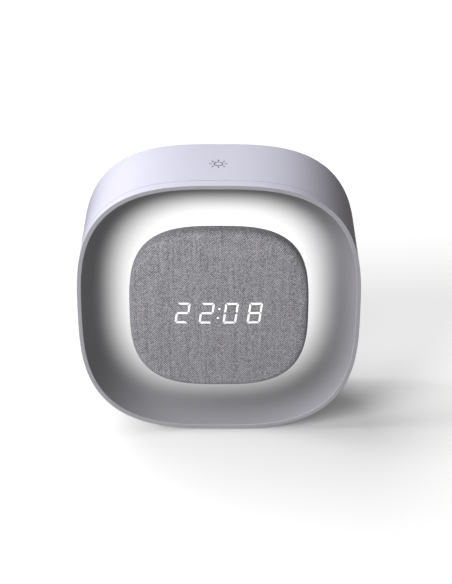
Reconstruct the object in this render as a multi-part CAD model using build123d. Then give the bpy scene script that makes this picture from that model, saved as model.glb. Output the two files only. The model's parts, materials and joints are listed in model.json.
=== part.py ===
from build123d import *
import math
import os

os.makedirs("parts", exist_ok=True)

# ---------------------------------------------------------------- driving dimensions (mm)
# Rounded-square body, seen from the front: |x/a|^n + |z/a|^n = 1
HALF = 59.0            # half width and half height at the front
N_OUT = 2.97           # exponent of the outer outline
DRAFT = 0.009          # half width lost per mm of depth
DEPTH = 41.6           # front lip to the back of the housing
BACK_R = 3.0           # rounding of the rear edge
LIP = 1.70             # width of the flat lip
SEAM = 4.72            # parting line behind the lip
SEAM_GAP = 0.25
WALL_IN = 56.6         # half width of the housing's hollow
SHELL_T = 1.6          # thickness of the bowl
FLOOR_D = 20.45        # depth of the bowl floor
FLOOR_RHO = 30.0       # half width of the flat floor
BOWL = ((HALF - LIP, 0.0), (53.6, 12.8), (37.37, 19.2))   # bowl profile, quadratic curve (half width, depth)

# clock puck
N_PUCK = 3.0
PUCK = 37.47           # half width over the cloth
CLOTH_T = 0.7
PUCK_BACK = 6.6        # rear of the cloth's hem
PUCK_R = 3.0           # front edge rounding
CARRIER_BACK = 6.2
NECK, NECK_IN = 24.6, 22.6
NECK_SCREW = 16.3
DISP = (40.2, 12.8, 0.75, 7.75)   # module width, height, front depth, back depth
DISP_Z = -0.25         # middle of the digits
DIGIT_H, DIGIT_PITCH, DIGIT_W, SEG_T, SLANT = 9.97, 10.04, 5.65, 0.88, math.radians(7.4)
DIGIT_X = -0.07         # middle of the digits, left of the body's middle
COLON_Z, COLON_R = (2.10, -2.35), 0.5

# rear
COVER, COVER_OPEN, COVER_LEDGE = 53.0, 53.2, 50.8
COVER_IN, COVER_OUT = 39.3, 41.2
CASE_SCREW = 36.4
BOSS_END = 33.5
BOARD = (-37.4, 37.4, -26.5, 7.9, 32.4, 34.0)   # x0, x1, z0, z1, front depth, back depth
BUTTON_X = (-26.5, -8.8, 8.8, 26.5)
BUTTON_Z = -2.0
BUTTON_R, BUTTON_HOLE_R, FLANGE_R = 4.5, 4.75, 5.6
BUTTON_TRAVEL = 0.5
BUTTON_TOP = 42.0
SLIDE_X, SLIDE_Z, SLIDE_TRAVEL = 21.0, -18.5, 2.0
PORT_Z = -18.5
SPEAKER_Z, SPEAKER_R = 25.5, 14.0

# foot pad
FOOT_X, FOOT_D0, FOOT_D1 = 20.6, 9.0, 36.5
FOOT_TOP, FOOT_BOTTOM = 57.9, 59.5

# symbol on top
ICON_X, ICON_D = -0.2, 20.15
ICON_R, RING_R, STROKE = 3.82, 1.90, 0.38
INK = 0.06

# frame: x right, y back, z up, origin under the middle of the body on the standing plane
Y0 = -BUTTON_TOP / 2
Z0 = FOOT_BOTTOM


# ---------------------------------------------------------------- helpers
# Pieces are drawn with x right, y up and z = -depth, then turned into the frame.
def se_wire(a, n, d, spans=8):
    edges = []
    for q in range(4):
        pts = []
        for i in range(spans + 1):
            t = (q + i / spans) * math.pi / 2
            c, s = math.cos(t), math.sin(t)
            r = a / (abs(c) ** n + abs(s) ** n) ** (1 / n)
            pts.append((r * c, r * s, -d))
        t0, t1 = q * math.pi / 2, (q + 1) * math.pi / 2
        edges.append(Edge.make_spline(
            [Vector(*p) for p in pts],
            tangents=[Vector(-math.sin(t0), math.cos(t0), 0), Vector(-math.sin(t1), math.cos(t1), 0)],
        ))
    return Wire(edges)


def se(a, n, d0, d1):
    return extrude(Face(se_wire(a, n, d0)), amount=d1 - d0, dir=(0, 0, -1))


def se_loft(sections, n, ruled=False):
    return Part() + Solid.make_loft([se_wire(a, n, d) for a, d in sections], ruled)


def box(x0, x1, z0, z1, d0, d1):
    return Pos((x0 + x1) / 2, (z0 + z1) / 2, -(d0 + d1) / 2) * Box(x1 - x0, z1 - z0, d1 - d0)


def cyl(x, z, d0, d1, r):
    return Pos(x, z, -(d0 + d1) / 2) * Cylinder(r, d1 - d0)


def slot(x0, x1, z, half, d0, d1):
    s = box(x0 + half, x1 - half, z - half, z + half, d0, d1)
    return s + cyl(x0 + half, z, d0, d1, half) + cyl(x1 - half, z, d0, d1, half)


def ring_edges(shape, d, low=0.0, high=1e9):
    picked = []
    for e in shape.edges():
        b = e.bounding_box()
        if abs(b.min.Z + d) < 1e-3 and abs(b.max.Z + d) < 1e-3:
            c = e @ 0.0
            r = math.hypot(c.X, c.Y)
            if low <= r <= high:
                picked.append(e)
    return picked


def rad(d):
    return HALF - DRAFT * d


def bowl(t):
    (a0, b0), (a1, b1), (a2, b2) = BOWL
    u = 1 - t
    return (u * u * a0 + 2 * u * t * a1 + t * t * a2, u * u * b0 + 2 * u * t * b1 + t * t * b2)


def bowl_back(t):
    (a0, b0), (a1, b1), (a2, b2) = BOWL
    a, b = bowl(t)
    da = 2 * (1 - t) * (a1 - a0) + 2 * t * (a2 - a1)
    db = 2 * (1 - t) * (b1 - b0) + 2 * t * (b2 - b1)
    m = math.hypot(da, db)
    return (a + SHELL_T * db / m, b - SHELL_T * da / m)


def put(name, shape):
    placed = Pos(0, Y0, Z0) * Rot(90, 0, 0) * shape
    export_step(placed, f"parts/{name}.step")


def group(solids):
    return Compound(children=[s for item in solids for s in item.solids()])


def pan_screw(x, z, d_head, d_seat, d_tip, head_r, shank_r):
    """A screw along the depth: head between d_head and d_seat, shank on to d_tip."""
    lo, hi = sorted((d_head, d_seat))
    head = cyl(x, z, lo, hi, head_r)
    a, b = sorted((d_seat, d_tip))
    shank = cyl(x, z, a, b, shank_r)
    cross_d = (d_head, d_head + 0.6) if d_head < d_seat else (d_head - 0.6, d_head)
    cross = box(x - head_r * 0.6, x + head_r * 0.6, z - 0.28, z + 0.28, *cross_d) \
        + box(x - 0.28, x + 0.28, z - head_r * 0.6, z + head_r * 0.6, *cross_d)
    return head + shank - cross


CORNERS = [(sx, sz) for sx in (-1, 1) for sz in (-1, 1)]

# ---------------------------------------------------------------- front shell: lip, band and bowl
band = se_loft([(rad(0), 0.0), (rad(SEAM), SEAM)], N_OUT, ruled=True)
band = fillet(ring_edges(band, 0.0), 0.3)
tongue = se(56.5, N_OUT, SEAM - 0.5, 8.0)
back_sections = [bowl_back(t) for t in (0.22, 0.34, 0.46, 0.58, 0.70, 0.82, 0.94)]
back_sections += [(35.6, 21.15), (FLOOR_RHO + 1.4, FLOOR_D + SHELL_T)]
bowl_outside = se_loft(back_sections, N_OUT)
shell = band + tongue + bowl_outside
for sx, sz in CORNERS:
    shell += cyl(sx * CASE_SCREW, sz * CASE_SCREW, 13.0, BOSS_END, 3.2)
for sx in (-1, 1):
    shell += cyl(sx * 28.5, -34.5, 16.5, 30.7, 2.7)
a0, d0 = bowl(0.0)
a1, d1 = bowl(0.02)
cut_sections = [(a0 + (a0 - a1) / (d1 - d0) * 0.6, -0.6)]
cut_sections += [bowl(t) for t in (0.0, 0.12, 0.24, 0.36, 0.48, 0.60, 0.72, 0.84, 0.94)]
cut_sections += [(34.2, 19.98), (FLOOR_RHO, FLOOR_D)]
shell -= se_loft(cut_sections, N_OUT)
shell -= cyl(0, 0, FLOOR_D - 1, FLOOR_D + 4, 8.0)          # way for the ribbon
for sx, sz in CORNERS:
    shell -= cyl(sx * NECK_SCREW, sz * NECK_SCREW, FLOOR_D - 1, FLOOR_D + 4, 1.35)
    shell -= cyl(sx * CASE_SCREW, sz * CASE_SCREW, 19.5, BOSS_END + 1, 1.5)
for sx in (-1, 1):
    shell -= cyl(sx * 28.5, -34.5, 23.0, 31.0, 1.15)
put("front_shell", shell)

# ---------------------------------------------------------------- main housing
h0 = SEAM + SEAM_GAP
outer = se_loft([(rad(h0), h0), (rad(DEPTH), DEPTH)], N_OUT, ruled=True)
outer = fillet(ring_edges(outer, DEPTH), BACK_R)
housing = outer - se(56.75, N_OUT, h0 - 1, 8.0)
housing -= se(55.5, N_OUT, 7.5, 10.0)
housing -= se(WALL_IN, N_OUT, 9.5, 37.6)
housing -= se(COVER_LEDGE, N_OUT, 37.0, 40.0)
housing -= se(COVER_OPEN, N_OUT, COVER_IN, DEPTH + 1)
# foot pocket
pocket = box(-FOOT_X - 0.1, FOOT_X + 0.1, -70, -FOOT_TOP, FOOT_D0 - 0.1, FOOT_D1 + 0.1)
pocket = fillet(pocket.edges().filter_by(Axis.Y), 4.1)
housing -= pocket
put("main_housing", housing)

foot = box(-FOOT_X, FOOT_X, -FOOT_BOTTOM, -FOOT_TOP, FOOT_D0, FOOT_D1)
foot = fillet(foot.edges().filter_by(Axis.Y), 4.0)
foot = fillet([e for e in foot.edges() if abs(e.bounding_box().max.Y + FOOT_BOTTOM) < 1e-4], 0.4)
put("foot_pad", foot)

# ---------------------------------------------------------------- printed symbol on top, a film of ink
skin = se_loft([(rad(10) + INK, 10.0), (rad(30) + INK, 30.0)], N_OUT, ruled=True) \
    - se_loft([(rad(9.5), 9.5), (rad(30.5), 30.5)], N_OUT, ruled=True)
icon = []
# drawn in plan (x, depth) and cut out of the ink film
tall = 8.0
ring = Pos(0, 0, 0) * (Cylinder(RING_R, tall) - Cylinder(RING_R - STROKE, tall))
icon.append(ring)
for k in range(8):
    ray = Rot(0, 0, 45 * k) * (Pos((2.55 + ICON_R) / 2, 0, 0) * Box(ICON_R - 2.55, STROKE, tall))
    icon.append(ray)
printed = []
for item in icon:
    stamped = Pos(ICON_X, HALF, -ICON_D) * Rot(90, 0, 0) * item
    printed.append(stamped & skin)
put("touch_symbol", group(printed))

# ---------------------------------------------------------------- touch electrode and its tail
film = se(56.5, N_OUT, 10.0, 33.0) - se(56.3, N_OUT, 9.0, 34.0)
electrode = film & (box(-14, 14, 40, 60, 11.0, 32.6) + box(13, 21, 40, 60, 28.0, 32.6))
put("touch_electrode", electrode)
put("touch_flex", box(17.5, 20.5, 3.6, 55.2, 32.15, 32.35))

# ---------------------------------------------------------------- clock puck
cloth = se(PUCK, N_PUCK, 0.0, PUCK_BACK)
cloth = fillet(ring_edges(cloth, 0.0), PUCK_R)
cloth = fillet(ring_edges(cloth, PUCK_BACK), 0.35)
core = se(PUCK - CLOTH_T, N_PUCK, CLOTH_T, CARRIER_BACK)
core = fillet(ring_edges(core, CLOTH_T), PUCK_R - CLOTH_T)
cloth = cloth - core - se(34.2, N_PUCK, 5.0, PUCK_BACK + 1)
put("cloth_cover", cloth)

carrier = core - se(35.3, N_PUCK, 2.2, 8.0)
carrier -= box(-DISP[0] / 2 - 0.25, DISP[0] / 2 + 0.25, DISP_Z - DISP[1] / 2 - 0.25, DISP_Z + DISP[1] / 2 + 0.25, 0, 5)
for sx, sz in CORNERS:
    carrier += cyl(sx * 28, sz * 14, 2.0, 4.7, 2.3)
for sx, sz in CORNERS:
    carrier -= cyl(sx * 28, sz * 14, 2.5, 5.0, 1.0)
put("face_carrier", carrier)

# back plate, and the hollow neck welded to it that carries the puck off the bowl floor
back = se(35.1, N_PUCK, 4.7, CARRIER_BACK) - se(NECK_IN, N_PUCK, 4.0, CARRIER_BACK + 1)
for sx, sz in CORNERS:
    back -= cyl(sx * 28, sz * 14, 4.0, 7.0, 1.1)
    back -= cyl(sx * 28, sz * 14, 5.2, 7.0, 1.95)
put("puck_back", back)

neck = se(NECK, N_PUCK, CARRIER_BACK, FLOOR_D) - se(NECK_IN, N_PUCK, 4.0, FLOOR_D + 1)
for sx, sz in CORNERS:
    neck += cyl(sx * NECK_SCREW, sz * NECK_SCREW, 12.0, FLOOR_D, 2.6) & se(NECK - 0.3, N_PUCK, 11.0, 22.0)
for sx, sz in CORNERS:
    neck -= cyl(sx * NECK_SCREW, sz * NECK_SCREW, 13.5, 22.0, 1.15)
put("puck_neck", neck)

put("carrier_screws", group([pan_screw(sx * 28, sz * 14, 6.15, 5.2, 2.7, 1.85, 0.95) for sx, sz in CORNERS]))
put("neck_screws", group([
    pan_screw(sx * NECK_SCREW, sz * NECK_SCREW, 23.4, FLOOR_D + SHELL_T, 14.5, 2.2, 1.1) for sx, sz in CORNERS
]))


# four-digit module: seven segment windows per digit, two colon dots
def bar(p, q):
    """A segment window: a flat hexagon from p to q, mitred at both ends."""
    (x0, y0), (x1, y1) = p, q
    m = math.hypot(x1 - x0, y1 - y0)
    ux, uy = (x1 - x0) / m, (y1 - y0) / m
    h, g = SEG_T / 2, 0.19
    x0, y0, x1, y1 = x0 + ux * g, y0 + uy * g, x1 - ux * g, y1 - uy * g
    pts = [(x0, y0), (x0 + ux * h - uy * h, y0 + uy * h + ux * h), (x1 - ux * h - uy * h, y1 - uy * h + ux * h),
           (x1, y1), (x1 - ux * h + uy * h, y1 - uy * h - ux * h), (x0 + ux * h + uy * h, y0 + uy * h - ux * h)]
    return pts


def window(pts, d0, d1):
    lean = [(x + y * math.tan(SLANT) + DIGIT_X, y + DISP_Z) for x, y in pts]
    wire = Wire.make_polygon([Vector(x, y, -d0) for x, y in lean], close=True)
    return extrude(Face(wire), amount=d1 - d0, dir=(0, 0, -1))


WIN0, WIN1 = DISP[2], DISP[2] + 0.3
windows = []
hw, hh = (DIGIT_W - SEG_T) / 2, (DIGIT_H - SEG_T) / 2
for k in range(4):
    cx = (k - 1.5) * DIGIT_PITCH
    a, b, c = (cx - hw, hh), (cx + hw, hh), (cx - hw, 0.0)
    d, e, f = (cx + hw, 0.0), (cx - hw, -hh), (cx + hw, -hh)
    for p, q in ((a, b), (c, d), (e, f), (c, a), (d, b), (e, c), (f, d)):
        windows.append(window(bar(p, q), WIN0, WIN1))
for y in COLON_Z:
    windows.append(cyl(y * math.tan(SLANT) + DIGIT_X, y + DISP_Z, WIN0, WIN1, COLON_R))
module = box(-DISP[0] / 2, DISP[0] / 2, DISP_Z - DISP[1] / 2, DISP_Z + DISP[1] / 2, DISP[2], DISP[3])
for w in windows:
    module -= w
put("display_module", module)
put("display_segments", group(windows))
put("clock_board", box(-21, 21, -11, 11, DISP[3], DISP[3] + 1.6) - box(-4.3, 4.3, -1.2, -0.8, 0, 20))
put("display_ribbon", box(-4, 4, -0.15, 0.15, DISP[3] + 1.6, BOARD[4]))

# light ring behind the puck
ring_board = se(33.6, N_PUCK, CARRIER_BACK, 7.2) - se(24.8, N_PUCK, 5.0, 9.0)
put("light_ring_board", ring_board)
leds = []
for k in range(24):
    t = (k + 0.5) / 24 * 2 * math.pi
    c, s = math.cos(t), math.sin(t)
    r = 29.2 / (abs(c) ** 3 + abs(s) ** 3) ** (1 / 3)
    leds.append(Pos(r * c, r * s, -7.55) * Rot(0, 0, math.degrees(t)) * Box(2.8, 3.5, 0.7))
put("ring_leds", group(leds))
diffuser = se(33.6, N_PUCK, 7.2, 10.4) - se(24.8, N_PUCK, 6.0, 12.0)
diffuser -= se(32.6, N_PUCK, 6.0, 9.4) - se(25.8, N_PUCK, 5.0, 9.6)
put("ring_diffuser", diffuser)

# ---------------------------------------------------------------- rear cover
cover = se(COVER, N_OUT, COVER_IN, COVER_OUT)
cover = fillet(ring_edges(cover, COVER_OUT), 0.4)
for sx, sz in CORNERS:
    cover += cyl(sx * CASE_SCREW, sz * CASE_SCREW, BOSS_END, COVER_IN + 0.5, 4.1)
stand = ((-34, 4.4), (34, 4.4), (-34, -23), (34, -23))
for x, z in stand:
    cover += cyl(x, z, BOARD[5], COVER_IN + 0.5, 2.5)
cover += cyl(0, SPEAKER_Z, 36.0, COVER_IN + 0.5, SPEAKER_R + 1.7) - cyl(0, SPEAKER_Z, 35.0, COVER_IN, SPEAKER_R + 0.2)
for sx, sz in CORNERS:
    cover -= cyl(sx * CASE_SCREW, sz * CASE_SCREW, 37.6, COVER_OUT + 1, 3.0)
    cover -= cyl(sx * CASE_SCREW, sz * CASE_SCREW, BOSS_END - 1, 38.0, 1.65)
for x, z in stand:
    cover -= cyl(x, z, BOARD[5] - 1, 38.6, 1.05)
for x in BUTTON_X:
    cover -= cyl(x, BUTTON_Z, COVER_IN - 1, COVER_OUT + 1, BUTTON_HOLE_R)
cover -= slot(-4.95, 4.95, PORT_Z, 2.0, COVER_IN - 1, COVER_OUT + 1)
cover -= box(18.35, 18.35 + 4.6 + SLIDE_TRAVEL + 0.7, SLIDE_Z - 1.8, SLIDE_Z + 1.8, COVER_IN - 1, COVER_OUT + 1)
cover -= cyl(-22, PORT_Z, COVER_IN - 1, COVER_OUT + 1, 1.25)
holes = [(0.0, 0.0)]
for ring_no, count in ((1, 6), (2, 12), (3, 18)):
    for k in range(count):
        t = 2 * math.pi * k / count
        holes.append((3.2 * ring_no * math.cos(t), 3.2 * ring_no * math.sin(t)))
for x, z in holes:
    cover -= cyl(x, SPEAKER_Z + z, COVER_IN - 1, COVER_OUT + 1, 0.8)
put("rear_cover", cover)

put("case_screws", group([
    pan_screw(sx * CASE_SCREW, sz * CASE_SCREW, 39.6, 37.6, 21.5, 2.7, 1.45) for sx, sz in CORNERS
]))

# ---------------------------------------------------------------- speaker
put("speaker_gasket", cyl(0, SPEAKER_Z, 38.9, COVER_IN, SPEAKER_R) - cyl(0, SPEAKER_Z, 38.0, 40.0, SPEAKER_R - 2.2))
speaker = cyl(0, SPEAKER_Z, 36.4, 38.9, SPEAKER_R) + cyl(0, SPEAKER_Z, 33.9, 36.4, 10.5) + cyl(0, SPEAKER_Z, 31.4, 33.9, 7.5)
speaker -= cyl(0, SPEAKER_Z, 38.0, 40.0, SPEAKER_R - 2.2)
put("speaker", speaker)
put("speaker_cone", (cyl(0, SPEAKER_Z, 38.0, 38.3, SPEAKER_R - 2.3) + cyl(0, SPEAKER_Z, 38.3, 38.7, 5.0)))

# ---------------------------------------------------------------- main board and what sits on it
board = box(*BOARD)
for x, z in stand:
    board -= cyl(x, z, 30, 36, 1.2)
put("main_board", board)
put("board_screws", group([pan_screw(x, z, 31.0, BOARD[4], 38.0, 2.0, 1.0) for x, z in stand]))
chips = [box(-23, -14, -13, -4, 31.2, BOARD[4]), box(12, 17, -12, -7, 31.5, BOARD[4]),
         box(22, 26, -19, -15, 31.6, BOARD[4]), box(-30, -27, -20, -17, 31.7, BOARD[4]),
         box(-7.5, 7.5, -2.4, -0.35, 30.4, BOARD[4]), box(7, 15, -18, -15.6, 30.0, BOARD[4])]
put("board_chips", group(chips))
put("usb_socket", (slot(-4.47, 4.47, PORT_Z, 1.63, BOARD[5], 40.9) - slot(-4.17, 4.17, PORT_Z, 1.33, 35.2, 42.0))
    + box(-3.3, 3.3, PORT_Z - 0.35, PORT_Z + 0.35, 35.0, 40.2))
put("charge_light_pipe", cyl(-22, PORT_Z, 36.0, COVER_OUT, 1.2) + cyl(-22, PORT_Z, 36.0, COVER_IN - 0.1, 1.9))

# push switches: bodies together, each plunger with its own button
bodies = []
for x in BUTTON_X:
    b = box(x - 3, x + 3, BUTTON_Z - 3, BUTTON_Z + 3, BOARD[5], 37.5) - cyl(x, BUTTON_Z, 36.3, 38.0, 2.0)
    bodies.append(b)
put("switch_bodies", group(bodies))
NAMES = ("alarm", "minus", "plus", "set")
for x, name in zip(BUTTON_X, NAMES):
    put(f"{name}_plunger", cyl(x, BUTTON_Z, 37.0, 38.2, 1.7))
    cap = cyl(x, BUTTON_Z, 38.35, BUTTON_TOP, BUTTON_R)
    cap = fillet([e for e in cap.edges() if abs(e.bounding_box().min.Z + BUTTON_TOP) < 1e-4], 0.5)
    cap += cyl(x, BUTTON_Z, 38.35, COVER_IN - 0.1, FLANGE_R) + cyl(x, BUTTON_Z, 38.2, 38.4, 1.6)
    put(f"{name}_button", cap)

# alarm slide switch
body = box(17.4, 26.6, SLIDE_Z - 2.2, SLIDE_Z + 2.2, BOARD[5], 37.5) - box(19.5, 24.5, SLIDE_Z - 1.2, SLIDE_Z + 1.2, 35.8, 38)
put("slide_switch_body", body)
knob = box(SLIDE_X - 2.3, SLIDE_X + 2.3, SLIDE_Z - 1.5, SLIDE_Z + 1.5, 38.3, 41.9)
knob = fillet([e for e in knob.edges() if abs(e.bounding_box().min.Z + 41.9) < 1e-4], 0.4)
for k in (-1, 0, 1):
    knob -= box(SLIDE_X + 1.1 * k - 0.22, SLIDE_X + 1.1 * k + 0.22, SLIDE_Z - 2, SLIDE_Z + 2, 41.6, 42.5)
knob += box(SLIDE_X - 6, SLIDE_X + 6, SLIDE_Z - 2.6, SLIDE_Z + 2.6, 38.3, COVER_IN - 0.1)
knob += box(SLIDE_X - 1, SLIDE_X + 1, SLIDE_Z - 0.8, SLIDE_Z + 0.8, 36.2, 38.5)
put("slide_knob", knob)

# ---------------------------------------------------------------- printed marks over the keys and beside the slide switch
# Each is drawn as it reads from behind, where +x of the drawing is -x of the body.
MARK_Z = BUTTON_Z + 8.4


def mark(x, z, outline):
    wire = Wire.make_polygon([Vector(x - px, z + py, -COVER_OUT) for px, py in outline], close=True)
    face = Face(wire)
    return extrude(face, amount=INK, dir=(0, 0, -1))


def mark_ring(x, z, r, stroke):
    return cyl(x, z, COVER_OUT, COVER_OUT + INK, r) - cyl(x, z, COVER_OUT - 1, COVER_OUT + 1, r - stroke)


dome = [(1.12 * math.cos(math.radians(t)), 0.35 + 1.12 * math.sin(math.radians(t))) for t in range(0, 181, 12)]
bell = dome + [(-1.2, -0.45), (-1.7, -1.05), (1.7, -1.05), (1.2, -0.45)]
clapper = [(0.5 * math.cos(math.radians(t)), -1.3 + 0.5 * math.sin(math.radians(t))) for t in range(180, 361, 15)]
b = 0.21
cross = [(b, 1.5), (b, b), (1.5, b), (1.5, -b), (b, -b), (b, -1.5), (-b, -1.5), (-b, -b), (-1.5, -b), (-1.5, b), (-b, b), (-b, 1.5)]
hands = [(-0.16, 1.05), (0.16, 1.05), (0.16, 0.16), (0.8, 0.16), (0.8, -0.16), (-0.16, -0.16)]
marks = [
    mark(BUTTON_X[0], MARK_Z, bell), mark(BUTTON_X[0], MARK_Z, clapper),
    mark(BUTTON_X[1], MARK_Z, [(-1.5, b), (1.5, b), (1.5, -b), (-1.5, -b)]),
    mark(BUTTON_X[2], MARK_Z, cross),
    mark_ring(BUTTON_X[3], MARK_Z, 1.75, 0.38), mark(BUTTON_X[3], MARK_Z, hands),
    mark_ring(SLIDE_X - 4.9, SLIDE_Z, 0.95, 0.32),
    mark(SLIDE_X + 6.9, SLIDE_Z, [(-0.17, 0.95), (0.17, 0.95), (0.17, -0.95), (-0.17, -0.95)]),
]
put("key_symbols", group(marks))

# ---------------------------------------------------------------- battery
cell = box(-25, 25, -52.2, -19.2, 22.8, 30.6)
cell = fillet(cell.edges().filter_by(Axis.X), 1.6)
put("battery_pack", cell)
put("battery_foam", box(-14, 14, -28.4, -20.0, FLOOR_D + SHELL_T, 22.8))
bracket = box(-32, 32, -39.5, -29.5, 30.7, 31.9)
bracket = fillet(bracket.edges().filter_by(Axis.Z), 2.5)
for sx in (-1, 1):
    bracket -= cyl(sx * 28.5, -34.5, 30, 33, 1.3)
put("battery_bracket", bracket)
put("bracket_screws", group([pan_screw(sx * 28.5, -34.5, 33.2, 31.9, 24.0, 2.1, 1.1) for sx in (-1, 1)]))


def lead(points, radii, r):
    path = FilletPolyline(*[Vector(x, z, -d) for x, z, d in points], radius=radii)
    start = Plane(origin=path @ 0, z_dir=path % 0)
    return sweep(start * Circle(r), path)


put("battery_leads", group([
    lead([(x, -19.2, 26.0), (x, -13.6, 26.0), (x, -13.6, BOARD[4])], [2.6], 0.6) for x in (-9.4, -7.4)
]))
put("speaker_leads", group([
    lead([(x, 17.2, 33.9), (x, 17.2, 29.6), (x, 4.6, 29.6), (x, 4.6, BOARD[4])], [1.2, 1.2], 0.5) for x in (-13.2, -11.4)
]))
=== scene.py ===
import json
import math

import bmesh
import bpy
import numpy as np
from mathutils import Matrix, Vector


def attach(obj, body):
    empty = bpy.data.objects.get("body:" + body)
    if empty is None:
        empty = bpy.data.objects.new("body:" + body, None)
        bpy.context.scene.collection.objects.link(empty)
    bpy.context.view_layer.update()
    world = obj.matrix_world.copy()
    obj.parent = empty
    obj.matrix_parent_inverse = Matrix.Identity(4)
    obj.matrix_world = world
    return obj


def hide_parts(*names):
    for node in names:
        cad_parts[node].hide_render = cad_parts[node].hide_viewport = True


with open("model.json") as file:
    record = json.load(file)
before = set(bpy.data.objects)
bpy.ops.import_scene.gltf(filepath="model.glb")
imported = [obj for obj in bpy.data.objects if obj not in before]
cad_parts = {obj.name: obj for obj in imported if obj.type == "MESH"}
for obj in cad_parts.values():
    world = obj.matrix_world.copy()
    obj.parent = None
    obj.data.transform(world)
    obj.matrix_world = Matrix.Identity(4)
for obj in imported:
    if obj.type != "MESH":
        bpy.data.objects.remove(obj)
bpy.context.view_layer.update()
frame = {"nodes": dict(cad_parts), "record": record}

nodes = frame["nodes"]
scene = bpy.context.scene

# ------------------------------------------------------------------ frame, in mm: x right, d depth behind the lip, v height over the middle
MM = 0.001
D0, V0 = 21.0, 59.5
HALF, N_OUT, DRAFT = 59.0, 2.97, 0.009
SEAM, SEAM_GAP, DEPTH, BACK_R = 4.72, 0.25, 41.6, 3.0
FLOOR_D, SHELL_T = 20.45, 1.6
BOWL = ((57.30, 0.0), (53.6, 12.8), (37.37, 19.2))
N_PUCK, PUCK, CROWN = 3.04, 37.47, 0.55
AROUND = 360


def at(x, d, v):
    return (x * MM, (d - D0) * MM, (v + V0) * MM)


def rad(d):
    return HALF - DRAFT * d


def se(a, n, t):
    c, s = math.cos(t), math.sin(t)
    r = a / (abs(c) ** n + abs(s) ** n) ** (1.0 / n)
    return r * c, r * s


def quad(p, q, r, t):
    u = 1 - t
    return tuple(u * u * a + 2 * u * t * b + t * t * c for a, b, c in zip(p, q, r))


def arc(ca, cd, r, t0, t1, k):
    """Points from angle t0 to t1 in degrees, 0 outwards and 90 towards the back."""
    return [(ca + r * math.cos(math.radians(t0 + (t1 - t0) * i / k)), cd + r * math.sin(math.radians(t0 + (t1 - t0) * i / k))) for i in range(k + 1)]


def line(p, q, k):
    return [tuple(a + (b - a) * i / k for a, b in zip(p, q)) for i in range(k + 1)]


def tidy(points):
    out = []
    for p in points:
        if not out or math.dist(p[:2], out[-1][:2]) > 1e-4:
            out.append(p)
    return out


# ------------------------------------------------------------------ meshes
def finish_mesh(name, verts, faces, slots=None, sharp=38.0, uv=None):
    me = bpy.data.meshes.new(name)
    me.from_pydata(verts, [], faces)
    if slots is not None:
        me.polygons.foreach_set("material_index", slots)
    if uv is not None:
        layer = me.uv_layers.new(name="weave")
        idx = np.zeros(len(me.loops), np.int32)
        me.loops.foreach_get("vertex_index", idx)
        layer.data.foreach_set("uv", np.asarray(uv, np.float32)[idx].ravel())
    me.validate()
    bm = bmesh.new()
    bm.from_mesh(me)
    bmesh.ops.recalc_face_normals(bm, faces=bm.faces)
    bm.to_mesh(me)
    bm.free()
    me.shade_smooth()
    me.set_sharp_from_angle(angle=math.radians(sharp))
    ob = bpy.data.objects.new(name, me)
    scene.collection.objects.link(ob)
    return ob


def loft(name, profile, n, closed=True, slot_of=None, sharp=38.0, poles=False, weave=False, count=AROUND):
    """A ring of rounded squares along a profile of (half width, depth[, exponent]). With poles, the first and last profile points are centres."""
    verts, faces, slots, uv = [], [], [], []
    rings = []
    run = 0.0
    for k, p in enumerate(profile):
        if k:
            run += math.dist(p[:2], profile[k - 1][:2])
        nn = p[2] if len(p) > 2 else n
        if poles and k in (0, len(profile) - 1):
            rings.append([len(verts)])
            verts.append(at(0.0, p[1], 0.0))
            uv.append((0.0, 0.0))
            continue
        ring = []
        for i in range(count):
            t = 2 * math.pi * i / count
            x, v = se(p[0], nn, t)
            ring.append(len(verts))
            verts.append(at(x, p[1], v))
            g = run / max(p[0], 1e-6)
            uv.append((x * g, v * g))
        rings.append(ring)
    pairs = list(zip(range(len(rings) - 1), range(1, len(rings))))
    if closed and not poles:
        pairs.append((len(rings) - 1, 0))
    for a, b in pairs:
        s = slot_of(a) if slot_of else 0
        ra, rb = rings[a], rings[b]
        for i in range(count):
            j = (i + 1) % count
            if len(ra) == 1:
                faces.append((ra[0], rb[i], rb[j]))
            elif len(rb) == 1:
                faces.append((ra[i], rb[0], ra[j]))
            else:
                faces.append((ra[i], rb[i], rb[j], ra[j]))
            slots.append(s)
    return finish_mesh(name, verts, faces, slots, sharp, uv if weave else None)


# ------------------------------------------------------------------ materials
def material(name):
    m = bpy.data.materials.new(name)
    m.use_nodes = True
    nt = m.node_tree
    nt.nodes.clear()
    out = nt.nodes.new("ShaderNodeOutputMaterial")
    b = nt.nodes.new("ShaderNodeBsdfPrincipled")
    nt.links.new(b.outputs[0], out.inputs[0])
    return m, nt, b


def coords(nt, scale=(1, 1, 1)):
    tc = nt.nodes.new("ShaderNodeTexCoord")
    mp = nt.nodes.new("ShaderNodeMapping")
    mp.inputs["Scale"].default_value = scale
    nt.links.new(tc.outputs["Object"], mp.inputs["Vector"])
    return mp.outputs[0]


def noise(nt, vec, scale, detail=2.0, rough=0.5, distort=0.0):
    n = nt.nodes.new("ShaderNodeTexNoise")
    n.inputs["Scale"].default_value = scale
    n.inputs["Detail"].default_value = detail
    n.inputs["Roughness"].default_value = rough
    n.inputs["Distortion"].default_value = distort
    nt.links.new(vec, n.inputs["Vector"])
    return n.outputs["Fac"]


def ramp(nt, fac, stops, mode="LINEAR"):
    r = nt.nodes.new("ShaderNodeValToRGB")
    r.color_ramp.interpolation = mode
    e = r.color_ramp.elements
    while len(e) < len(stops):
        e.new(0.5)
    for el, (pos, col) in zip(e, stops):
        el.position = pos
        el.color = (*col, 1.0) if len(col) == 3 else col
    nt.links.new(fac, r.inputs["Fac"])
    return r.outputs["Color"]


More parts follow.
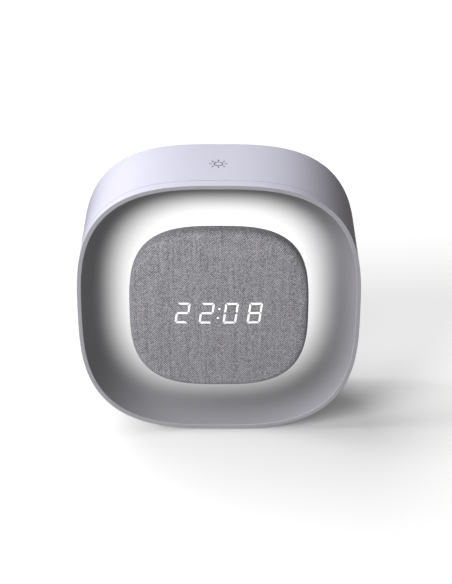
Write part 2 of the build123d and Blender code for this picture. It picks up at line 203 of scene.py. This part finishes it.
def remap(nt, fac, a, b, c, d):
    m = nt.nodes.new("ShaderNodeMapRange")
    for key, val in zip(("From Min", "From Max", "To Min", "To Max"), (a, b, c, d)):
        m.inputs[key].default_value = val
    nt.links.new(fac, m.inputs["Value"])
    return m.outputs["Result"]


def math_node(nt, op, a, b=None, c=None):
    m = nt.nodes.new("ShaderNodeMath")
    m.operation = op
    for i, x in enumerate((a, b, c)):
        if x is None:
            continue
        if isinstance(x, (int, float)):
            m.inputs[i].default_value = x
        else:
            nt.links.new(x, m.inputs[i])
    return m.outputs[0]


def mix(nt, fac, a, b, kind="MIX"):
    m = nt.nodes.new("ShaderNodeMix")
    m.data_type = "RGBA"
    m.blend_type = kind
    if isinstance(fac, (int, float)):
        m.inputs[0].default_value = fac
    else:
        nt.links.new(fac, m.inputs[0])
    for i, x in ((6, a), (7, b)):
        if isinstance(x, tuple):
            m.inputs[i].default_value = (*x, 1.0)
        else:
            nt.links.new(x, m.inputs[i])
    return m.outputs[2]


def bump(nt, bsdf, height, strength, distance, normal=None):
    b = nt.nodes.new("ShaderNodeBump")
    b.inputs["Strength"].default_value = strength
    b.inputs["Distance"].default_value = distance
    nt.links.new(height, b.inputs["Height"])
    if normal is not None:
        nt.links.new(normal, b.inputs["Normal"])
    nt.links.new(b.outputs[0], bsdf.inputs["Normal"])
    return b.outputs[0]


def moulded(name, col, rough=0.42, grain=5200.0, depth=0.000006, spread=0.02, ior=1.46, spec=0.4):
    """Moulded plastic: faint flow clouds in the colour, fine mould grain, slightly uneven gloss."""
    m, nt, b = material(name)
    v = coords(nt)
    cloud = noise(nt, v, 38.0, 3.0, 0.55)
    speck = noise(nt, v, 1900.0, 2.0, 0.6)
    both = math_node(nt, "ADD", math_node(nt, "MULTIPLY", cloud, 0.7), math_node(nt, "MULTIPLY", speck, 0.3))
    lo = tuple(c * (1 - spread) for c in col)
    hi = tuple(min(1.0, c * (1 + spread)) for c in col)
    nt.links.new(ramp(nt, both, [(0.3, lo), (0.7, hi)]), b.inputs["Base Color"])
    nt.links.new(remap(nt, noise(nt, v, 900.0, 3.0, 0.6), 0.3, 0.7, rough - 0.04, rough + 0.05), b.inputs["Roughness"])
    bump(nt, b, noise(nt, v, grain, 2.0, 0.5), 0.35, depth)
    b.inputs["IOR"].default_value = ior
    b.inputs["Specular IOR Level"].default_value = spec
    return m, nt, b


SHELL = (0.597, 0.592, 0.655)
LIP_TONE = (0.565, 0.562, 0.59)
# painted shade: the bowl, one moulding with the lip, gets about half the lip's brightness so that the recess reads
# darker
BOWL_SHADED_TONE = (0.285, 0.281, 0.292)
mat_shell, _, _ = moulded("shell_plastic", SHELL, rough=0.44)


def bowl_painted_glow_shade_material():
    m, nt, b = moulded("bowl_plastic_painted_glow_and_shade", BOWL_SHADED_TONE, rough=0.68, spec=0.08)
    # painted glow: the light of the ring behind the cloth is painted into the bowl's emission, dark at the lip and
    # white deep in by the puck
    tc = nt.nodes.new("ShaderNodeTexCoord")
    xyz = nt.nodes.new("ShaderNodeSeparateXYZ")
    nt.links.new(tc.outputs["Object"], xyz.inputs[0])
    deep = remap(nt, xyz.outputs["Y"], (7.0 - D0) * MM, (21.0 - D0) * MM, 0.0, 1.0)
    # painted glow, dimmed at the corners as if they lay further from the ring light
    up = math_node(nt, "SUBTRACT", xyz.outputs["Z"], V0 * MM)
    slope = math_node(nt, "SINE", math_node(nt, "MULTIPLY", math_node(nt, "ARCTAN2", up, xyz.outputs["X"]), 2.0))
    deep = math_node(nt, "SUBTRACT", deep, math_node(nt, "MULTIPLY", math_node(nt, "MULTIPLY", slope, slope), 0.035))
    stops = [(0.0, 0.0), (0.10, 0.004), (0.22, 0.024), (0.30, 0.060), (0.36, 0.105), (0.43, 0.176), (0.50, 0.260), (0.56, 0.355),
             (0.62, 0.452), (0.68, 0.562), (0.74, 0.668), (0.80, 0.77), (0.86, 0.86), (0.95, 0.98)]
    painted_glow = ramp(nt, deep, [(p, (g, g, g)) for p, g in stops])
    nt.links.new(painted_glow, b.inputs["Emission Color"])
    b.inputs["Emission Strength"].default_value = 1.0
    return m


mat_bowl_painted_glow_shade = bowl_painted_glow_shade_material()
mat_lip, _, _ = moulded("lip_plastic", LIP_TONE, rough=0.5, spec=0.2)


def cloth_material():
    """Heathered twill; the weave coordinates are millimetres of cloth."""
    m, nt, b = material("heather_cloth")
    uv = nt.nodes.new("ShaderNodeUVMap")
    uv.uv_map = "weave"
    wob = nt.nodes.new("ShaderNodeTexNoise")
    wob.inputs["Scale"].default_value = 0.22
    wob.inputs["Detail"].default_value = 2.0
    nt.links.new(uv.outputs[0], wob.inputs["Vector"])
    push = nt.nodes.new("ShaderNodeVectorMath")
    push.operation = "MULTIPLY_ADD"
    push.inputs[1].default_value = (0.5, 0.5, 0.0)
    nt.links.new(wob.outputs["Color"], push.inputs[0])
    nt.links.new(uv.outputs[0], push.inputs[2])
    xyz = nt.nodes.new("ShaderNodeSeparateXYZ")
    nt.links.new(push.outputs[0], xyz.inputs[0])
    u = math_node(nt, "MULTIPLY", xyz.outputs[0], 1 / 0.344)
    v = math_node(nt, "MULTIPLY", xyz.outputs[1], 1 / 0.347)
    fu, fv = math_node(nt, "FLOOR", u), math_node(nt, "FLOOR", v)
    # two over, one under, one yarn further on in each row
    step = math_node(nt, "MODULO", math_node(nt, "ADD", math_node(nt, "SUBTRACT", fu, fv), 3000.0), 3.0)
    odd = math_node(nt, "LESS_THAN", step, 0.5)
    warp = math_node(nt, "ABSOLUTE", math_node(nt, "SINE", math_node(nt, "MULTIPLY", u, math.pi)))
    weft = math_node(nt, "ABSOLUTE", math_node(nt, "SINE", math_node(nt, "MULTIPLY", v, math.pi)))
    over = math_node(nt, "MULTIPLY", warp, math_node(nt, "MULTIPLY_ADD", weft, 0.30, 0.70))
    under = math_node(nt, "MULTIPLY", weft, math_node(nt, "MULTIPLY_ADD", warp, 0.45, 0.40))
    height_mix = nt.nodes.new("ShaderNodeMix")
    nt.links.new(odd, height_mix.inputs[0])
    nt.links.new(over, height_mix.inputs[2])
    nt.links.new(under, height_mix.inputs[3])
    height = height_mix.outputs[0]

    def yarn(ax, ay, seed):
        c = nt.nodes.new("ShaderNodeCombineXYZ")
        nt.links.new(math_node(nt, "MULTIPLY", xyz.outputs[0], ax), c.inputs[0])
        nt.links.new(math_node(nt, "MULTIPLY", xyz.outputs[1], ay), c.inputs[1])
        c.inputs[2].default_value = seed
        return noise(nt, c.outputs[0], 1.0, 3.0, 0.62)

    def dye(su, sv, seed):
        """One shade for each yarn, or for each crossing."""
        c = nt.nodes.new("ShaderNodeCombineXYZ")
        for i, src in enumerate((su, sv)):
            if src is not None:
                nt.links.new(src, c.inputs[i])
        c.inputs[2].default_value = seed
        w = nt.nodes.new("ShaderNodeTexWhiteNoise")
        nt.links.new(c.outputs[0], w.inputs["Vector"])
        return w.outputs["Value"]

    tone_mix = nt.nodes.new("ShaderNodeMix")
    nt.links.new(odd, tone_mix.inputs[0])
    nt.links.new(math_node(nt, "MULTIPLY_ADD", dye(fu, None, 3.5), 0.12, 0.355), tone_mix.inputs[2])
    nt.links.new(math_node(nt, "MULTIPLY_ADD", dye(None, fv, 8.5), 0.12, -0.235), tone_mix.inputs[3])
    cross = math_node(nt, "MULTIPLY_ADD", dye(fu, fv, 1.5), 0.62, math_node(nt, "ADD", tone_mix.outputs[0], 0.030))
    fleck = yarn(0.9, 0.9, 5.5)
    slub = yarn(0.95, 0.045, 1.7)
    tone = math_node(nt, "ADD", cross, math_node(nt, "MULTIPLY_ADD", slub, 0.50, -0.25))
    dyed = ramp(nt, tone, [(0.0, (0.030, 0.030, 0.032)), (1.0, (0.60, 0.597, 0.615))])
    # painted shade: the base colour is darkened down to 45% where the yarns dip between crossings
    painted_gap_shade = remap(nt, height, 0.0, 0.5, 0.45, 1.0)
    shade = nt.nodes.new("ShaderNodeCombineColor")
    for i in range(3):
        nt.links.new(painted_gap_shade, shade.inputs[i])
    nt.links.new(mix(nt, 1.0, dyed, shade.outputs[0], "MULTIPLY"), b.inputs["Base Color"])
    nt.links.new(remap(nt, fleck, 0.3, 0.7, 0.84, 0.96), b.inputs["Roughness"])
    b.inputs["Specular IOR Level"].default_value = 0.15
    b.inputs["Sheen Weight"].default_value = 0.22
    b.inputs["Sheen Roughness"].default_value = 0.45
    b.inputs["Sheen Tint"].default_value = (0.85, 0.87, 1.0, 1.0)
    fuzz = math_node(nt, "ADD", height, math_node(nt, "MULTIPLY", fleck, 0.2))
    bump(nt, b, fuzz, 0.7, 0.00012)
    return m


mat_cloth = cloth_material()


def lit_material(name, col, strength, grain=900.0, low=0.86):
    """A glowing surface with the weave or the milky filler just showing in it."""
    m, nt, b = material(name)
    v = coords(nt)
    n = noise(nt, v, grain, 2.0, 0.5)
    lo = tuple(c * low for c in col)
    nt.links.new(ramp(nt, n, [(0.3, lo), (0.7, col)]), b.inputs["Emission Color"])
    nt.links.new(ramp(nt, n, [(0.3, (0.30, 0.30, 0.31)), (0.7, (0.38, 0.38, 0.39))]), b.inputs["Base Color"])
    b.inputs["Emission Strength"].default_value = strength
    b.inputs["Roughness"].default_value = 0.6
    return m


mat_digit = lit_material("digit_light", (1.0, 1.0, 1.0), 1.0, 900.0, 0.9)
mat_diffuser = lit_material("ring_light", (1.0, 0.99, 0.97), 0.4, 260.0, 0.93)


def metal(name, col, rough, scale=(1, 1, 1), grain=2600.0):
    m, nt, b = material(name)
    v = coords(nt, scale)
    n = noise(nt, v, grain, 3.0, 0.6)
    nt.links.new(ramp(nt, n, [(0.3, tuple(c * 0.86 for c in col)), (0.7, col)]), b.inputs["Base Color"])
    nt.links.new(remap(nt, n, 0.3, 0.7, rough - 0.06, rough + 0.08), b.inputs["Roughness"])
    b.inputs["Metallic"].default_value = 1.0
    bump(nt, b, n, 0.25, 0.000004)
    return m


def ink():
    m, nt, b = material("printed_ink")
    v = coords(nt)
    n = noise(nt, v, 2200.0, 3.0, 0.6)
    nt.links.new(ramp(nt, n, [(0.3, (0.040, 0.039, 0.046)), (0.7, (0.075, 0.073, 0.084))]), b.inputs["Base Color"])
    nt.links.new(remap(nt, n, 0.3, 0.7, 0.5, 0.62), b.inputs["Roughness"])
    bump(nt, b, n, 0.3, 0.000004)
    return m


def board(name, mask, trace):
    """Solder mask over copper runs, with a fibre weave under it."""
    m, nt, b = material(name)
    v = coords(nt)
    runs = nt.nodes.new("ShaderNodeTexBrick")
    runs.inputs["Scale"].default_value = 260.0
    runs.inputs["Mortar Size"].default_value = 0.03
    runs.inputs["Color1"].default_value = (*mask, 1)
    runs.inputs["Color2"].default_value = (*tuple(c * 0.88 for c in mask), 1)
    runs.inputs["Mortar"].default_value = (*trace, 1)
    nt.links.new(v, runs.inputs["Vector"])
    nt.links.new(runs.outputs["Color"], b.inputs["Base Color"])
    n = noise(nt, v, 2500.0, 2.0, 0.5)
    nt.links.new(remap(nt, n, 0.3, 0.7, 0.28, 0.4), b.inputs["Roughness"])
    bump(nt, b, n, 0.3, 0.000005)
    return m


mat_rear, _, _ = moulded("rear_plastic", (0.57, 0.565, 0.655), rough=0.52, grain=2600.0, depth=0.00003)
mat_key, _, _ = moulded("key_plastic", (0.40, 0.395, 0.455), rough=0.42, grain=4200.0, depth=0.000008)
mat_inner, _, _ = moulded("inner_plastic", (0.74, 0.74, 0.77), rough=0.5)
mat_black, _, _ = moulded("black_plastic", (0.022, 0.022, 0.024), rough=0.45, spread=0.12)
mat_rubber, _, _ = moulded("silicone", (0.16, 0.16, 0.172), rough=0.68, grain=3000.0, depth=0.00002, spread=0.06)
mat_foam, _, _ = moulded("foam", (0.03, 0.03, 0.032), rough=0.85, grain=1500.0, depth=0.00008, spread=0.2)
mat_flex, _, _ = moulded("flex_film", (0.55, 0.26, 0.05), rough=0.35, spread=0.06)
mat_lead, _, _ = moulded("lead_skin", (0.30, 0.03, 0.03), rough=0.4, spread=0.05)
mat_pipe, _, _ = moulded("light_pipe", (0.78, 0.80, 0.83), rough=0.12, spread=0.02)
mat_cone, _, _ = moulded("paper_cone", (0.05, 0.05, 0.052), rough=0.8, grain=1800.0, depth=0.00006, spread=0.2)
mat_steel = metal("zinc_steel", (0.66, 0.66, 0.65), 0.32)
mat_cell = metal("foil_pouch", (0.70, 0.71, 0.73), 0.42, grain=500.0)
mat_copper = metal("copper_foil", (0.80, 0.44, 0.27), 0.35)
mat_ink = ink()
mat_board = board("solder_mask", (0.012, 0.10, 0.035), (0.05, 0.22, 0.09))
mat_board_white = board("white_mask", (0.80, 0.80, 0.80), (0.70, 0.69, 0.66))

FINISH = {
    "shell": mat_shell, "shell_rear": mat_rear, "inner_white": mat_inner, "silicone": mat_rubber, "ink": mat_ink,
    "copper": mat_copper, "flex": mat_flex, "cloth": mat_cloth, "black_plastic": mat_black, "segment_light": mat_digit,
    "board": mat_board, "board_white": mat_board_white, "led": mat_diffuser, "diffuser": mat_diffuser, "foam": mat_foam,
    "cone": mat_cone, "steel": mat_steel, "clear": mat_pipe, "cell": mat_cell, "lead": mat_lead, "key": mat_key,
    "plunger": mat_black,
}
slot_of_node = {s["node"]: s["material_slot"] for s in frame["record"]["subparts"]}
for name, ob in nodes.items():
    ob.data.materials.clear()
    ob.data.materials.append(FINISH[slot_of_node[name]])


# ------------------------------------------------------------------ front shell: lip, band and bowl
def bowl(t):
    return quad(*BOWL, t)


def bowl_back(t):
    (a0, b0), (a1, b1), (a2, b2) = BOWL
    a, b = bowl(t)
    da = 2 * (1 - t) * (a1 - a0) + 2 * t * (a2 - a1)
    db = 2 * (1 - t) * (b1 - b0) + 2 * t * (b2 - b1)
    m = math.hypot(da, db)
    return a + SHELL_T * db / m, b - SHELL_T * da / m


front = []
f1 = SEAM - 0.07
front += line((56.5, f1), (rad(f1) - 0.08, f1), 3)
front += arc(rad(f1) - 0.08, f1 - 0.08, 0.08, 90, 0, 4)
front += line((rad(f1 - 0.2), f1 - 0.2), (rad(0.4), 0.4), 6)
front += arc(rad(0.12) - 0.12, 0.12, 0.12, 0, -90, 5)
lip_first = len(tidy(front)) - 1
front += line((rad(0) - 0.2, 0.0), (BOWL[0][0] + 0.14, 0.0), 3)
front += [quad((BOWL[0][0] + 0.08, 0.0), (BOWL[0][0], 0.0), bowl(0.005), i / 5) for i in range(6)]
bowl_first = len(tidy(front)) - 1
front += [bowl(0.005 + (1 - 0.005) * i / 56) for i in range(57)]
front += [quad(BOWL[2], (34.2, FLOOR_D), (30.0, FLOOR_D), i / 12) for i in range(13)]
for i in range(1, 9):
    q = i / 8
    front.append((30.0 + (8.0 - 30.0) * q, FLOOR_D, N_OUT + (2.0 - N_OUT) * q))
bowl_last = len(tidy(front)) - 1
front.append((8.0, FLOOR_D + SHELL_T, 2.0))
for i in range(1, 9):
    q = i / 8
    front.append((8.0 + (31.4 - 8.0) * q, FLOOR_D + SHELL_T, 2.0 + (N_OUT - 2.0) * q))
front += [(35.6, 21.15)] + [bowl_back(0.94 - (0.94 - 0.30) * i / 14) for i in range(15)]
front += [(56.2, 8.0), (56.5, 8.0)] + line((56.5, 7.5), (56.5, SEAM + 0.05), 3)
front = tidy(front)
shell = loft("front_shell_skin", front, N_OUT, slot_of=lambda k: 1 if bowl_first <= k < bowl_last else 2 if lip_first <= k < bowl_first else 0)
shell.data.materials.append(mat_shell)
shell.data.materials.append(mat_bowl_painted_glow_shade)
shell.data.materials.append(mat_lip)
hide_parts("front_shell")
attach(shell, "clock")

# ------------------------------------------------------------------ main housing
h0 = SEAM + SEAM_GAP + 0.05
rear = rad(DEPTH - BACK_R)


def squarer(d):
    """The corners tighten a little towards the back."""
    f = min(max((d - 8.0) / 30.0, 0.0), 1.0)
    return N_OUT + 0.075 * f * f * (3.0 - 2.0 * f)


sleeve = line((56.75, h0), (rad(h0) - 0.08, h0), 3)
sleeve += arc(rad(h0) - 0.08, h0 + 0.08, 0.08, -90, 0, 4)
outside = line((rad(h0 + 0.3), h0 + 0.3), (rad(DEPTH - BACK_R - 0.3), DEPTH - BACK_R - 0.3), 30)
outside += arc(rear - BACK_R, DEPTH - BACK_R, BACK_R, 0, 90, 18)
sleeve += [(r, d, squarer(d)) for r, d in outside]
sleeve += [(r, d, N_OUT + 0.075 * (r - 53.5) / (rear - BACK_R - 53.5)) for r, d in line((rear - BACK_R - 0.2, DEPTH), (53.5, DEPTH), 3)]
sleeve += [quad((53.45, DEPTH), (53.2, DEPTH), (53.2, DEPTH - 0.25), i / 4) for i in range(5)]
sleeve += [(53.2, 39.3), (50.8, 39.3), (50.8, 37.6), (56.6, 37.6), (56.6, 9.5), (55.5, 9.5), (55.5, 8.0), (56.75, 8.0)]
housing = loft("main_housing_skin", tidy(sleeve), N_OUT)
housing.data.materials.append(mat_shell)
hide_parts("main_housing")
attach(housing, "clock")


# ------------------------------------------------------------------ cloth over the puck
def face_depth(x, v):
    """Depth of the crowned cloth front."""
    n = N_PUCK
    a = (abs(x) ** n + abs(v) ** n) ** (1 / n)
    q = min(1.0, a / (PUCK - 3.0))
    return -CROWN * (1 - q * q) ** 2


flat_edge = PUCK - 3.0
cloth = [(0.0, -CROWN)]
for i in range(1, 49):
    a = flat_edge * i / 48
    cloth.append((a, -CROWN * (1 - (a / flat_edge) ** 2) ** 2))
cloth += arc(PUCK - 3.0, 3.0, 3.0, -88, 0, 14)
cloth += line((PUCK, 3.2), (PUCK, 6.2), 6)
cloth += arc(PUCK - 0.38, 6.22, 0.38, 0, 90, 6)
cloth += line((PUCK - 0.8, 6.6), (34.3, 6.6), 6)
cloth += [(34.2, 6.5), (34.2, 6.2)] + line((34.6, 6.2), (36.77, 6.2), 4) + line((36.77, 6.0), (36.77, 3.7), 4)
cloth += arc(PUCK - 3.0, 3.0, 2.3, 0, -88, 8)
cloth += line((flat_edge - 0.5, 0.7), (1.0, 0.7), 8) + [(0.0, 0.7)]
cover = loft("cloth_skin", tidy(cloth), N_PUCK, poles=True, weave=True, sharp=60.0)
cover.data.materials.append(mat_cloth)
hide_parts("cloth_cover")
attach(cover, "clock")

# ------------------------------------------------------------------ digits shining through the cloth
DIGIT_H, PITCH, DIGIT_W, SLANT, DIGIT_X, DIGIT_V = 9.95, 10.04, 5.63, math.tan(math.radians(7.4)), -0.07, -0.25
STROKE_V, STROKE_H, CUT, GAP, MID = 0.84, 0.89, 0.42, 0.24, 0.34
LIT = {"0": "abcdef", "2": "abged", "8": "abcdefg"}


def segments():
    """Outlines of the seven windows of one upright digit, mitred at the corners."""
    w, h, tv, th = DIGIT_W / 2, DIGIT_H / 2, STROKE_V, STROKE_H
    a = [(-w + CUT, h), (w - CUT, h), (w - tv - GAP, h - th), (-w + tv + GAP, h - th)]
    b = [(w, h - CUT), (w, MID), (w - tv, th / 2 + GAP), (w - tv, h - th - GAP)]
    k = w - 1.2 * MID
    g = [(-k, 0), (-k + th / 2, th / 2), (k - th / 2, th / 2), (k, 0), (k - th / 2, -th / 2), (-k + th / 2, -th / 2)]
    turn = lambda poly, sx, sy: [(sx * x, sy * y) for x, y in (poly if sx * sy > 0 else poly[::-1])]
    return {"a": a, "b": b, "g": g, "c": turn(b, 1, -1), "d": turn(a, 1, -1), "e": turn(b, -1, -1), "f": turn(b, -1, 1)}


def lit_outlines(text):
    shapes = segments()
    out = [[(x + (k - 1.5) * PITCH, y) for x, y in shapes[s]] for k, ch in enumerate(text) for s in LIT[ch]]
    for y in (2.10, -2.35):
        out.append([(0.49 * math.cos(2 * math.pi * i / 20), y + 0.49 * math.sin(2 * math.pi * i / 20)) for i in range(20)])
    return [[(x + y * SLANT + DIGIT_X, y + DIGIT_V) for x, y in poly] for poly in out]


def grown(poly, by):
    cx, cy = sum(p[0] for p in poly) / len(poly), sum(p[1] for p in poly) / len(poly)
    out = []
    n = len(poly)
    for i in range(n):
        (xa, ya), (xb, yb), (xc, yc) = poly[i - 1], poly[i], poly[(i + 1) % n]
        n1 = Vector((yb - ya, xa - xb)).normalized()
        n2 = Vector((yc - yb, xb - xc)).normalized()
        if n1.dot(Vector((xb - cx, yb - cy))) + n2.dot(Vector((xb - cx, yb - cy))) < 0:
            n1, n2 = -n1, -n2
        m = n1 + n2
        m = m / max(m.dot(n1), 1e-6)
        out.append((xb + m.x * by, yb + m.y * by))
    return out


verts, faces = [], []
for poly in lit_outlines("2208"):
    layers = [(grown(poly, 0.0), 0.25), (grown(poly, 0.0), -0.05), (grown(poly, -0.05), -0.085)]
    base = len(verts)
    n = len(poly)
    for pts, out in layers:
        for x, v in pts:
            verts.append(at(x, face_depth(x, v) + out, v))
    for k in range(len(layers) - 1):
        for i in range(n):
            j = (i + 1) % n
            faces.append((base + k * n + i, base + k * n + j, base + (k + 1) * n + j, base + (k + 1) * n + i))
    faces.append(tuple(base + 2 * n + i for i in range(n)))
    faces.append(tuple(base + n - 1 - i for i in range(n)))
digits = finish_mesh("lit_digits", verts, faces, sharp=25.0)
digits.data.materials.append(mat_digit)
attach(digits, "clock")

# ------------------------------------------------------------------ stage
floor_mesh = bpy.data.meshes.new("floor")
floor_mesh.from_pydata([(-4, -4, -0.0001), (4, -4, -0.0001), (4, 4, -0.0001), (-4, 4, -0.0001)], [], [(0, 1, 2, 3)])
floor = bpy.data.objects.new("floor", floor_mesh)
scene.collection.objects.link(floor)
m, nt, b = material("floor_white")
v = coords(nt)
nt.links.new(ramp(nt, noise(nt, v, 3.0, 2.0), [(0.3, (0.90, 0.90, 0.90)), (0.7, (0.92, 0.92, 0.92))]), b.inputs["Base Color"])
b.inputs["Roughness"].default_value = 0.8
b.inputs["Specular IOR Level"].default_value = 0.1
floor_mesh.materials.append(m)
floor.visible_diffuse = False
floor.visible_glossy = False

world = bpy.data.worlds.new("studio")
scene.world = world
world.use_nodes = True
bg = world.node_tree.nodes["Background"]
bg.inputs["Color"].default_value = (1.0, 0.965, 0.94, 1)
bg.inputs["Strength"].default_value = 0.15


def softbox(name, place, aim, size, power, col=(1, 1, 1), size_y=None):
    li = bpy.data.lights.new(name, "AREA")
    li.shape = "RECTANGLE"
    li.size = size
    li.size_y = size_y or size
    li.energy = power
    li.color = col
    ob = bpy.data.objects.new(name, li)
    ob.location = place
    ob.rotation_euler = (Vector(aim) - Vector(place)).to_track_quat("-Z", "Y").to_euler()
    scene.collection.objects.link(ob)
    return ob


def sunlight(name, place, angle, strength, col=(1, 1, 1)):
    li = bpy.data.lights.new(name, "SUN")
    li.angle = math.radians(angle)
    li.energy = strength
    li.color = col
    ob = bpy.data.objects.new(name, li)
    ob.location = place
    ob.rotation_euler = (-Vector(place)).to_track_quat("-Z", "Y").to_euler()
    scene.collection.objects.link(ob)
    return ob


# the object has a key, a front fill from the left and a back fill, the cloth a key of its own, and the floor broad light from the left and the front
key = softbox("key", (-0.85, -0.27, 0.89), (0, 0, 0.06), 1.3, 31.0, (0.95, 0.95, 1.02))
front_fill = softbox("front_fill", (-0.78, -1.04, 0.10), (0, 0, 0.06), 0.5, 2.35, (1.0, 0.97, 0.94))
back_fill = softbox("back_fill", (0.0, 1.3, -0.22), (0, 0, 0.06), 0.5, 8.0)
cloth_key = softbox("cloth_key", (-0.20, -0.481, 0.28), (0, -0.021, 0.06), 0.18, 2.92, (0.985, 0.978, 1.03))
# screws and the port mirror a wide dim panel at the back instead of the back fill
back_panel = softbox("back_panel", (0.0, 1.3, -0.35), (0, 0, -0.35), 2.4, 5.8, size_y=1.7)
back_panel.visible_diffuse = False
back_fill.visible_glossy = False
for ob in (key, front_fill, back_fill, cloth_key, back_panel):
    ob.visible_camera = False


def linked(name, objects, state="INCLUDE"):
    """A collection for light linking."""
    c = bpy.data.collections.new(name)
    for i, ob in enumerate(objects):
        c.objects.link(ob)
        c.collection_objects[i].light_linking.link_state = state
    return c


off_floor = linked("off_floor", [floor], "EXCLUDE")
hard_parts = linked("hard_parts", [floor, cover], "EXCLUDE")
back_fill.light_linking.receiver_collection = off_floor
back_panel.light_linking.receiver_collection = linked("rear_metal", [nodes[n] for n in ("case_screws", "usb_socket", "charge_light_pipe")])
for ob in (key, front_fill):
    ob.light_linking.receiver_collection = hard_parts
cloth_key.light_linking.receiver_collection = linked("only_cloth", [cover])
only_floor = linked("only_floor", [floor])
floor_lights = [
    sunlight("floor_back_left", (-0.6, 0.5, 1.0), 50.0, 1.72),
    sunlight("floor_left", (-1.0, 0.0, 0.47), 20.0, 1.65),
    sunlight("floor_front_left", (-0.7, -0.7, 0.6), 30.0, 1.88),
    sunlight("floor_front", (0.0, -1.0, 0.6), 30.0, 0.58),
]
for ob in floor_lights:
    ob.light_linking.receiver_collection = only_floor

# a card at the left keeps the key off the lower left side
card_mesh = bpy.data.meshes.new("card")
card_mesh.from_pydata([(-0.09, -0.021, 0.0), (-0.09, 0.4, 0.0), (-0.09, 0.4, 0.125), (-0.09, -0.021, 0.125)], [], [(0, 1, 2, 3)])
card = bpy.data.objects.new("card", card_mesh)
scene.collection.objects.link(card)
for way in ("camera", "diffuse", "glossy", "transmission"):
    setattr(card, "visible_" + way, False)
m, nt, b = material("card_black")
nt.links.new(ramp(nt, noise(nt, coords(nt), 40.0), [(0.3, (0.02, 0.02, 0.02)), (0.7, (0.03, 0.03, 0.03))]), b.inputs["Base Color"])
b.inputs["Roughness"].default_value = 0.9
card_mesh.materials.append(m)
no_card = linked("no_card", [card], "EXCLUDE")
for ob in (*floor_lights, front_fill, cloth_key):
    ob.light_linking.blocker_collection = no_card
# the back fill comes from under the table line, so that it stays off the top
no_stage = linked("no_stage", [card, floor], "EXCLUDE")
for ob in (back_fill, back_panel):
    ob.light_linking.blocker_collection = no_stage

# ------------------------------------------------------------------ camera
cam = bpy.data.cameras.new("photo")
cam.sensor_width = 36.0
cam.sensor_fit = "AUTO"
cam.lens = 104.46
camera = bpy.data.objects.new("photo", cam)
e, p, reach = math.radians(31.119), math.radians(30.440), 707.23
camera.location = at(4.0, -reach * math.cos(e), reach * math.sin(e))
camera.rotation_euler = (math.pi / 2 - p, 0.0, math.radians(0.0975))
cam.clip_start, cam.clip_end = 0.01, 50.0
scene.collection.objects.link(camera)
scene.camera = camera

scene.view_settings.view_transform = "Standard"
scene.view_settings.look = "None"
scene.view_settings.exposure = 0.0
scene.view_settings.gamma = 1.0
